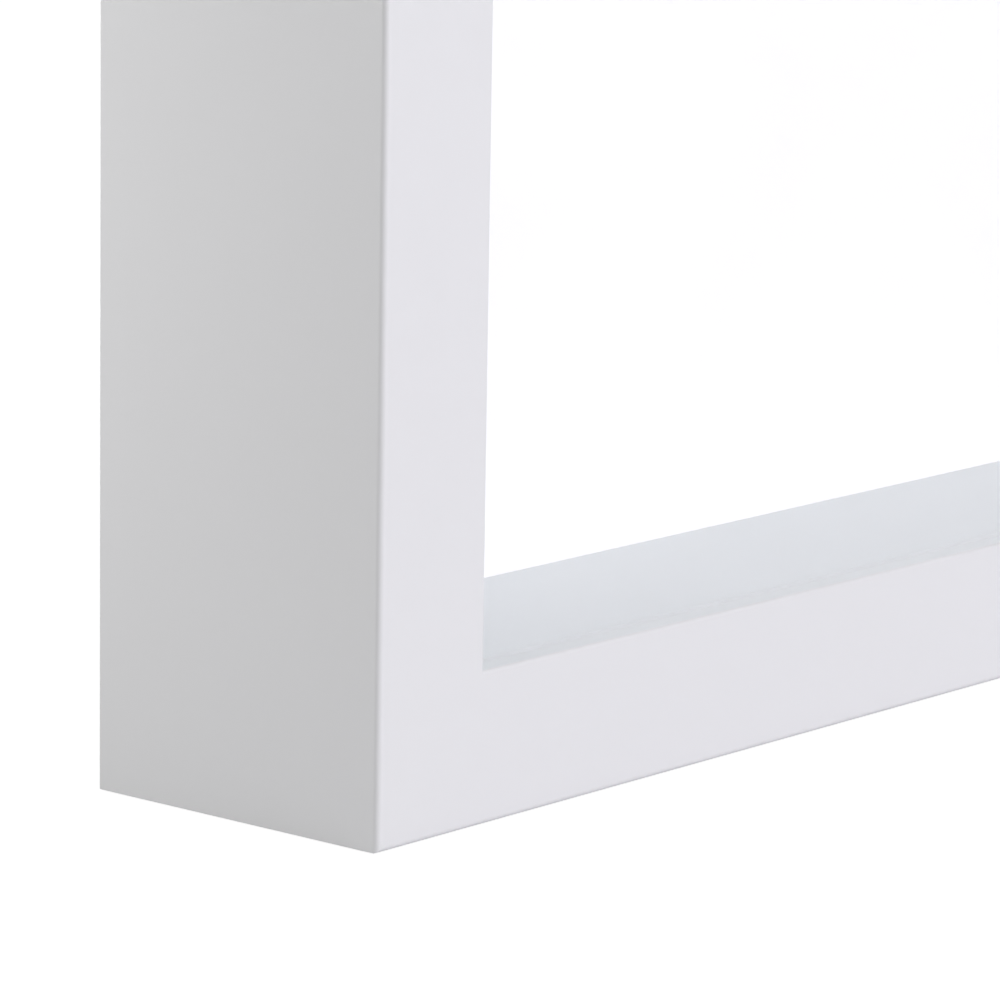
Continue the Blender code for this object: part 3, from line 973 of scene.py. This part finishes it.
def make_ring(side):
    """A D of round wire, its butted ends just showing in the middle of the bar."""
    node = f"hanger_ring_{side}"
    low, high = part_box(node)
    pivot = Vector(((low.x + high.x) / 2, (low.y + high.y) / 2, high.z - WIRE_RADIUS))
    corner_x = RING_HALF_WIDTH - RING_CORNER
    right = arc((corner_x, -RING_CORNER), RING_CORNER, 90, 0, 10)
    bow = arc((0, -RING_STRAIGHT), RING_HALF_WIDTH, 0, -180, 48)
    left = arc((-corner_x, -RING_CORNER), RING_CORNER, 180, 90, 10)
    start, end = Vector((RING_BUTT_GAP / 2, 0, 0)), Vector((-RING_BUTT_GAP / 2, 0, 0))
    route = [start] + [Vector((px, 0, pz)) for px, pz in right + bow + left] + [end]
    ahead = Vector((1, 0, 0))  # along the bar at both ends
    shape = bmesh.new()
    rings = []
    for k, point in enumerate(route):
        before = route[k - 1] if k else point - ahead
        after = route[k + 1] if k + 1 < len(route) else point + ahead
        along = (after - before).normalized()
        outward = Vector((0, 1, 0)).cross(along)
        radius = WIRE_RADIUS * (RING_BUTT_SHARE if k in (0, len(route) - 1) else 1.0)
        ring = [
            pivot + point + radius * (math.cos(a) * outward + math.sin(a) * Vector((0, 1, 0)))
            for a in (2 * math.pi * step / RING_SIDES for step in range(RING_SIDES))
        ]
        rings.append(add_ring(shape, ring))
    join_rings(shape, rings)
    shape.faces.new(rings[0])
    shape.faces.new(rings[-1])
    stand_for(node, solid(f"{node}_body", shape), [zinc], 50)


def make_bumper(node):
    """A soft domed bumper on a disc of adhesive tape."""
    low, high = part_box(node)
    place = Vector(((low.x + high.x) / 2, 0, (low.z + high.z) / 2))
    turn = Matrix.Translation(place) @ Matrix.Rotation(math.radians(-90), 4, "X")
    base = REAR + CONTACT
    foot = base + BUMPER_TAPE
    shape = bmesh.new()
    tape_edge = BUMPER_RADIUS - BUMPER_TAPE_INSET
    add_turned(shape, [(0, foot), (tape_edge, foot), (tape_edge, base), (0, base)], 48, turn)
    taped = set(shape.faces)
    flat = BUMPER_RADIUS - BUMPER_ROUNDING
    shoulder = high.y - BUMPER_CROWN
    dome = [(flat * k / 6, high.y - BUMPER_CROWN * (k / 6) ** 2) for k in range(7)]
    rim = arc((flat, shoulder - BUMPER_ROUNDING), BUMPER_ROUNDING, 90, 0, 8)[1:]
    under = foot + BUMPER_TAPE_GAP
    skirt = [
        (BUMPER_RADIUS, foot + BUMPER_SKIRT),
        (BUMPER_RADIUS - BUMPER_SKIRT / 2, under),
        (0, under),
    ]
    add_turned(shape, dome + rim + skirt, 48, turn)
    for face in shape.faces:
        face.material_index = int(face in taped)
    bumper = solid(f"{node}_body", shape)
    bumper.data.materials.append(rubber)
    bumper.data.materials.append(tape)
    stand_for(node, bumper, [])


def hole_places(side):
    """Where the screws of the buttons and of the hanger go along a side."""
    back = side_matrix(side).inverted()
    screws = [f"turn_button_screw_{name}" for name, (where, _) in BUTTON_SIDES.items() if where == side]
    if side in ("left", "right"):
        screws.append(f"hanger_screw_{side}")
    places = []
    for node in screws:
        low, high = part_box(node)
        places.append((back @ ((Vector(low) + Vector(high)) / 2)).x)
    return places


# ---------------------------------------------------------------------------------------------------------------
# The scene
# ---------------------------------------------------------------------------------------------------------------

bpy.context.scene.view_settings.view_transform = "Standard"
make_camera()
make_world()
make_lamps()
make_floor()

for side in SIDES:
    make_rail(side, hole_places(side))
    make_liner(side)
for corner, side in CORNERS.items():
    make_corner_nail(corner, side)

make_pane()
make_sheet("mount_board", board_face, board_core, BOARD_EDGE)
make_foam_board()
make_sheet("back_panel", hardboard_face, hardboard_edge, HARDBOARD_EDGE)

for name in BUTTON_SIDES:
    make_turn_button(name)
    make_screw(f"turn_button_screw_{name}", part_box(f"turn_button_{name}")[1].y - REAR + UNDER_HEAD_GAP)
for side in ("left", "right"):
    make_strap(side)
    make_ring(side)
    make_screw(f"hanger_screw_{side}", STRAP_STAND_OFF + STRAP_THICKNESS + UNDER_HEAD_GAP)
    make_bumper(f"wall_bumper_{side}")
